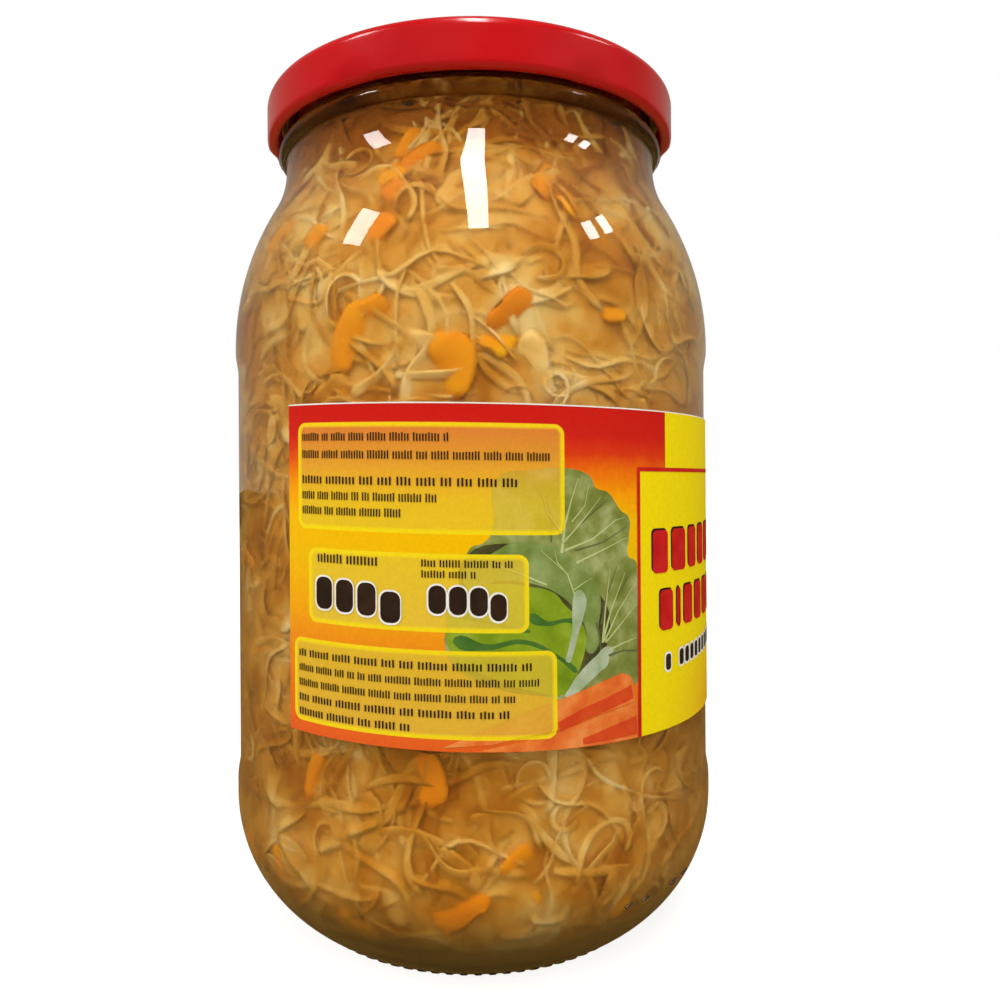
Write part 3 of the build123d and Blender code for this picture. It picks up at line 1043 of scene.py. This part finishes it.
def print_picture(boxes):
    """A cabbage over two carrots, drawn in millimetres from the label's lower left corner."""
    def lay(name, ink, lift, shades, outlines, curved=True, cover=0.72, scale=260.0):
        material = print_material(ink, plain_shades(*shades, scale=scale), boxes, cover)
        print_ink(name, outlines, lift, material, curved)

    lay("leaf_outer", "leaf_print", 0.02, ((112, 122, 48), (136, 144, 72), (170, 174, 112)), [[
        (37.9, 43.3), (43.2, 44.6), (48.9, 45), (51, 44.8), (53.8, 43.6), (54.7, 41.9), (57, 41.2),
        (59.8, 38.1), (61.5, 37), (61.5, 33.7), (61.3, 30.6), (63, 29.6), (63.3, 27.8), (63.3, 9.5),
        (54, 7), (44, 9), (33, 12), (29.6, 16), (31.4, 24), (33.6, 32.2), (35.6, 33), (37, 34.6),
    ]])
    lay("leaf_shade", "shade_print", 0.03, ((54, 50, 24), (78, 74, 40), (96, 98, 54)), [[
        (33, 31), (41, 33), (45.4, 32.4), (48.4, 31.4), (51, 29.4), (53.6, 28), (55, 25), (57, 22),
        (56.6, 16), (54, 13), (50, 9.4), (43, 9), (34, 12), (30.6, 16), (31.6, 24),
    ]])
    lay("leaf_inner", "inner_print", 0.04, ((104, 126, 52), (124, 144, 72), (150, 166, 100)), [[
        (33, 29), (37, 31.4), (41, 33.3), (45.3, 32.8), (48.6, 31.9), (51, 29.8), (53.8, 28.6),
        (54.2, 27), (55.3, 25), (55.5, 22.5), (55, 18.7), (55.2, 16.8), (53.4, 15), (52.6, 19.2),
        (50.6, 22.4), (48.2, 24.6), (44.6, 26.3), (38, 27), (33, 26),
    ]])
    lay("cabbage_head", "head_print", 0.05, ((100, 130, 22), (128, 154, 28), (152, 172, 50)), [[
        (31, 25), (38, 26.6), (43.2, 26.1), (47, 25.1), (49, 23), (51.6, 20.5), (52.7, 18),
        (52, 14), (50.6, 11), (48.8, 8.8), (44, 9.4), (36, 12), (30.6, 15.4), (29.8, 20),
    ]], scale=150.0)
    lay("head_folds", "fold_print", 0.06, ((62, 104, 38), (84, 124, 50)), strokes(
        (0.9, 0.5, (42.9, 21.4), (46, 20.2), (49, 20.6), (51.8, 20.2)),
        (1.1, 0.4, (31, 17.6), (36, 16.6), (42, 17.4), (48, 14.6), (51, 12.2)),
        (0.6, 0.3, (31, 22), (36, 20.6), (43, 19)),
    ))
    lay("stalk_leaf", "stalk_print", 0.07, ((150, 168, 120), (172, 186, 150), (190, 200, 170)), [
        [(56.5, 15.9), (58, 15.3), (57.3, 14.5), (56.8, 12.9), (55.3, 11.9), (52.4, 9.8), (49, 8.2),
         (49.8, 10), (52, 12.6), (54.6, 14.6)],
        [(51.2, 25.4), (52.6, 24.4), (52.2, 21), (51.2, 18.2), (50.4, 15.4), (49.4, 13.8),
         (49.6, 16.4), (50.2, 19.2), (50.2, 22.4)],
    ])
    lay("leaf_veins", "vein_print", 0.08, ((176, 190, 112), (196, 206, 140)), strokes(
        (0.5, 0.1, (48.4, 31.4), (49, 36), (50.2, 40), (51.4, 43.4)),
        (0.35, 0.08, (48.6, 33), (52, 36.4), (55.6, 40.4)),
        (0.4, 0.08, (48.9, 31.8), (54, 33.6), (58.6, 36.6), (60.6, 37)),
        (0.4, 0.1, (51, 29.8), (55, 31.4), (60.8, 33.6)),
        (0.3, 0.08, (48.5, 34.5), (46, 38), (44.8, 42.4)),
        (0.25, 0.08, (50.2, 36.4), (52.6, 39), (53.4, 42.6)),
        (0.45, 0.1, (55.8, 16.6), (57.6, 22), (60.6, 28)),
        (0.4, 0.1, (55.8, 16.6), (56.4, 22), (57.4, 28.6)),
        (0.4, 0.1, (56.2, 16.8), (59, 21.6), (62.8, 26)),
        (0.35, 0.1, (56.4, 16.6), (59.8, 19.6), (63, 22.4)),
        (0.4, 0.1, (57.4, 15.4), (60, 16.2), (63, 16.8)),
        (0.3, 0.08, (50.6, 24.8), (49.4, 28), (45, 31.8)),
        (0.25, 0.08, (49, 28.4), (47.6, 30), (47.2, 31.8)),
        (0.25, 0.08, (50.4, 25.4), (52.4, 26.6), (53.8, 27.2)),
        (0.3, 0.1, (45.8, 26.4), (41, 28.4), (36.4, 30)),
    ), curved=False)
    lay("leaf_furrows", "furrow_print", 0.075, ((88, 98, 56), (108, 118, 74)), strokes(
        (0.3, 0.1, (49.6, 34.2), (53.4, 37.4), (57, 40)),
        (0.3, 0.1, (50.8, 31.8), (56, 33), (60.8, 35.4)),
        (0.35, 0.1, (55.6, 19.6), (56.6, 24), (58.8, 29)),
        (0.35, 0.1, (56, 18.4), (58.4, 23.6), (61.6, 27.6)),
        (0.4, 0.15, (57, 14.4), (60, 15), (63.2, 14.6)),
        (0.4, 0.2, (54.6, 20), (55.2, 17.6), (55.4, 15.4)),
        (0.3, 0.1, (46.6, 33.2), (46.8, 36), (46, 40)),
    ), curved=False)
    lay("carrot_back", "carrot_print", 0.085, CARROT_INK, [[
        (29, 0.6), (31.7, 1.8), (38, 4.5), (43.8, 6.7), (48.8, 8.2), (55.3, 10.2), (59.6, 11.3),
        (61.6, 10.6), (62.3, 9.2), (62.6, 6.2), (54.3, 4.9), (47.7, 3.1), (41.3, 2.2), (36.5, 1.2),
    ]], curved=False, cover=0.62)
    lay("carrot_front", "carrot_print_2", 0.09, CARROT_INK, [[
        (34, 0.1), (47.7, 2.9), (55.2, 4.8), (62.9, 6.2), (63.2, 6.0), (63.2, 0.05), (55.2, 0.05),
        (42, 0.05),
    ]], curved=False, cover=0.62)
    lay("carrot_shade", "carrot_dusk", 0.095, ((212, 66, 30), (222, 84, 34)), strokes(
        (1.6, 2.4, (47.8, 3.6), (52, 5.3), (57, 6.6), (62, 7.9)),
        (1.0, 3.2, (52, 0.9), (57, 1.6), (63, 2.2)),
    ), curved=False, cover=0.62)


def print_front(red):
    """Front panel in yellow with its red rules, and two lines of heading blocks."""
    panel = [oblong(64, 0.02, 118.2, 44.9), oblong(71, 45.3, 111.2, 55.0)]
    print_ink("front_panel", panel, 0.05, print_material("panel_print", panel_shades))
    rules = ((63.4, 0.02, 64.1, 45.4), (63.4, 44.7, 118.8, 45.4), (118.1, 0.02, 118.8, 45.4))
    print_ink("red_rules", [oblong(*rule) for rule in rules], 0.1, red)
    climb = 0.12  # each block sits a little higher than the one before
    blocks, shadows = [], []
    for x, low, high, widths in (
        (67.2, 27.2, 34.6, (5.2, 5.8, 4.6, 4.8, 5.4, 4.6, 5.6)),
        (69.2, 17.2, 24.2, (4.8, 2.2, 4.6, 4.8, 5.4, 5.0, 5.2)),
    ):
        for i, wide in enumerate(widths):
            rise = climb * i
            blocks.append(rounded(x, low + rise, x + wide - 0.8, high + rise, 0.9))
            shadows.append(rounded(x - 0.35, low + rise + 0.3, x + wide - 1.15, high + rise + 0.35, 0.9))
            x += wide + 0.55
    dark = print_material("dark_ink", plain_shades((44, 18, 14), (60, 26, 20)))
    print_ink("heading_shadow", shadows, 0.09, dark)
    print_ink("heading_blocks", blocks, 0.12, red)


def print_text(white, ink):
    """Small script, text as lines of ticks, and the two weights as plain dark blocks."""
    script, halo = [], []
    for i in [0] + list(range(2, 15)):
        x, rise = 70.8 + 2.3 * i, 0.12 * i
        script.append(rounded(x, 10.2 + rise, x + 1.6, 13.0 + rise, 0.6))
        halo.append(rounded(x - 0.4, 9.8 + rise, x + 1.88, 13.4 + rise, 0.9))
    print_ink("script_halo", halo, 0.09, white)
    print_ink("script_marks", script, 0.12, ink)

    lines = []
    for n, (x0, x1, y, size, weight) in enumerate((
        (3.5, 30.8, 49.0, 1.9, 0.24), (3.5, 47.4, 46.1, 1.9, 0.24), (3.5, 41.6, 41.9, 1.9, 0.32),
        (3.5, 28.5, 39.3, 1.9, 0.24), (3.5, 23.0, 36.8, 1.9, 0.24), (6.9, 19.6, 28.9, 2.1, 0.32),
        (25.8, 40.7, 29.1, 1.6, 0.24), (25.8, 34.6, 27.4, 1.6, 0.24), (2.5, 44.0, 12.8, 1.7, 0.3),
        (2.5, 45.0, 10.3, 1.7, 0.24), (2.5, 41.0, 7.8, 1.7, 0.24), (2.5, 40.7, 5.3, 1.7, 0.3),
        (2.5, 23.8, 2.9, 1.7, 0.3),
    )):
        lines += words(x0, x1, y, size, weight, n + 3)
    for n, y in enumerate((44, 40.6, 37.2, 33.8, 30.4, 24, 20.6, 17.2, 13.8, 10.4)):
        lines += words(126, 172 - 7 * (n % 3), y, 1.8, 0.32, n + 40)
    print_ink("text_lines", lines, 0.11, ink)

    figures, halos = [], []
    for x, y, wide, tall in (
        (6.6, 21.2, 3.3, 5.3), (10.7, 21.0, 3.3, 5.3), (14.8, 20.8, 3.3, 5.3), (18.9, 19.9, 3.4, 5.0),
        (26.9, 21.7, 2.8, 4.5), (30.2, 21.6, 2.8, 4.5), (33.5, 21.5, 2.8, 4.5), (36.7, 20.7, 2.6, 4.3),
    ):
        figures.append(rounded(x, y, x + wide, y + tall, 1.3))
        halos.append(rounded(x - 0.3, y - 0.35, x + wide + 0.2, y + tall + 0.3, 1.5))
    print_ink("weight_halos", halos, 0.10, white)
    print_ink("weight_blocks", figures, 0.12, ink)
    print_ink("paper_edge", [oblong(0.0, 54.98, LABEL_LENGTH, LABEL_HEIGHT)], 0.03, white)


def make_label():
    boxes = text_box_group()
    make_band(print_material("band_paper", paper_shades, boxes, cover=0.8))
    print_picture(boxes)
    print_front(print_material("red_ink", plain_shades((196, 26, 24), (212, 40, 34))))
    white = print_material("white_ink", plain_shades((236, 232, 220), (246, 244, 236)))
    print_text(white, print_material("text_ink", plain_shades((40, 28, 20), (58, 40, 26))))


# ---- Stage, light and camera


def seen_how(tree):
    """Masks for rays that see a surface straight or through glass, for rays that have been mirrored,
    and for those that leave the glass only after a reflection inside it. The last would lay a pale
    veil over the contents."""
    path = node(tree, "LightPath").outputs
    mirrored = maths(tree, "GREATER_THAN", path["Glossy Depth"], 0.5)
    stray = maths(tree, "MULTIPLY", path["Is Transmission Ray"], mirrored)
    through = maths(tree, "SUBTRACT", path["Is Transmission Ray"], stray)
    return maths(tree, "MAXIMUM", path["Is Camera Ray"], through), mirrored, stray


def make_stage():
    put_down_everything()
    bpy.ops.mesh.primitive_plane_add(size=6, location=(0, 0, -0.2 * MM))
    floor = bpy.context.object
    floor.name = floor.data.name = "studio_floor"
    material, tree, skin, output, place = new_material("pale_floor")
    direct, mirrored, _ = seen_how(tree)
    paint = node(tree, "BsdfDiffuse", in_Color=(0.38, 0.38, 0.38, 1))
    # Painted reflection: in mirrored rays the floor shows dark amber, for dark surroundings seen in the
    # glass and lid
    dark = node(tree, "BsdfDiffuse", in_Color=(0.26, 0.15, 0.04, 1))
    lift = remap(tree, vectors(tree, "LENGTH", place), 0.1, 0.5, 0.77, 1.0)
    glow = node(tree, "Emission", in_Color=(1, 1, 1, 1), in_Strength=lift)
    lifted = node(tree, "AddShader", in_0=paint, in_1=glow)
    mixed = node(tree, "MixShader", in_0=direct, in_1=paint, in_2=lifted)
    plug(tree, output.inputs["Surface"], node(tree, "MixShader", in_0=mirrored, in_1=mixed, in_2=dark))
    floor.data.materials.append(material)

    world = bpy.data.worlds.new("studio")
    bpy.context.scene.world = world
    world.use_nodes = True
    tree = world.node_tree
    direct, mirrored, stray = seen_how(tree)
    way = node(tree, "SeparateXYZ", in_0=node(tree, "TexCoord").outputs["Generated"]).outputs
    backdrop = remap(tree, way[1], -0.05, 0.8, 0.08, 0.35)
    dome = node(tree, "Background", in_Color=(1.0, 0.96, 0.9, 1), in_Strength=0.2)
    tint = blend(tree, stray, (1, 0.9, 0.76, 1), (0.5, 0.3, 0.12, 1))
    level = node(tree, "Mix", in_0=stray, in_2=backdrop, in_3=0.5)
    shiny = node(tree, "Background", in_Color=tint, in_Strength=level)
    white = node(tree, "Background", in_Color=(1, 1, 1, 1), in_Strength=1.0)
    first = node(tree, "MixShader", in_0=mirrored, in_1=dome, in_2=shiny)
    whole = node(tree, "MixShader", in_0=direct, in_1=first, in_2=white)
    plug(tree, tree.nodes["World Output"].inputs["Surface"], whole)


def hang_light(name, place, aim, size, power):
    lamp = bpy.data.lights.new(name, "AREA")
    lamp.shape = "RECTANGLE"
    lamp.size, lamp.size_y = size
    lamp.energy = power
    lamp.color = (1, 0.98, 0.95)
    holder = put_in_scene(name, lamp)
    holder.location = place
    holder.rotation_mode = "QUATERNION"
    holder.rotation_quaternion = (Vector(aim) - Vector(place)).to_track_quat("-Z", "Y")
    holder.visible_camera = holder.visible_transmission = False
    return holder


def keep_off_brine(lamp):
    """The lamp shows on the outside of the glass and lights the contents. It gives nothing to rays
    that have passed one or two surfaces, the glass and the brine, where it would look like haze."""
    lamp.use_nodes = True
    tree = lamp.node_tree
    surfaces = node(tree, "LightPath").outputs["Transmission Depth"]
    off_middle = maths(tree, "ABSOLUTE", maths(tree, "SUBTRACT", surfaces, 1.5))
    plug(tree, tree.nodes["Emission"].inputs["Strength"], maths(tree, "GREATER_THAN", off_middle, 1.0))


def make_lights():
    middle = (0, 0, 0.09)
    # Soft lamps that light the jar without a reflection, then those that show on the glass
    for name, place, size, power in (
        ("key_softbox", (-0.5, -0.8, 0.6), (1.1, 1.1), 6.3),
        ("fill_softbox", (0.8, -0.5, 0.35), (0.9, 0.9), 4.0),
        ("left_softbox", (-0.9, 0.05, 0.3), (0.8, 0.8), 2.6),
        ("rear_softbox", (-0.1, 0.9, 0.6), (1.1, 1.1), 5.0),
    ):
        hang_light(name, place, middle, size, power).visible_glossy = False
    for name, place, aim, size, power in (
        ("ceiling_tube", (0.02, -0.26, 0.6), (0.0, -0.03, 0.12), (0.075, 0.34), 1.5),
        ("left_window", (-0.41, -0.22, 0.55), (-0.02, -0.04, 0.13), (0.1, 0.15), 0.6),
        ("right_window", (0.44, -0.19, 0.53), (0.02, -0.04, 0.13), (0.06, 0.07), 0.2),
        ("right_pane", (0.49, -0.1, 0.56), (0.02, -0.04, 0.13), (0.06, 0.07), 0.2),
    ):
        keep_off_brine(hang_light(name, place, aim, size, power).data)


def make_camera():
    camera = bpy.data.cameras.new("camera")
    camera.sensor_width = 36
    camera.lens = 29.59
    camera.shift_x = 0.0285
    camera.shift_y = -0.030
    camera.clip_start = 0.01
    holder = put_in_scene("camera", camera)
    holder.location = (0, -0.1782, 0.0887)
    upright = Matrix.Rotation(math.radians(90), 4, "X")
    roll = Matrix.Rotation(math.radians(-0.36), 4, "Z")
    holder.rotation_euler = (upright @ roll).to_euler()
    bpy.context.scene.camera = holder


make_glass()
make_heel_marks()
make_lid()
make_brine()
mottle = mottle_group()
make_core(mottle)
make_shreds(mottle)
make_carrots()
make_bubbles()
make_label()
make_stage()
make_lights()
make_camera()

bpy.context.scene.view_settings.view_transform = "Standard"
cycles = bpy.context.scene.cycles
cycles.max_bounces = 10
cycles.diffuse_bounces = 3
cycles.transmission_bounces = 8
cycles.transparent_max_bounces = 14
cycles.caustics_reflective = cycles.caustics_refractive = False
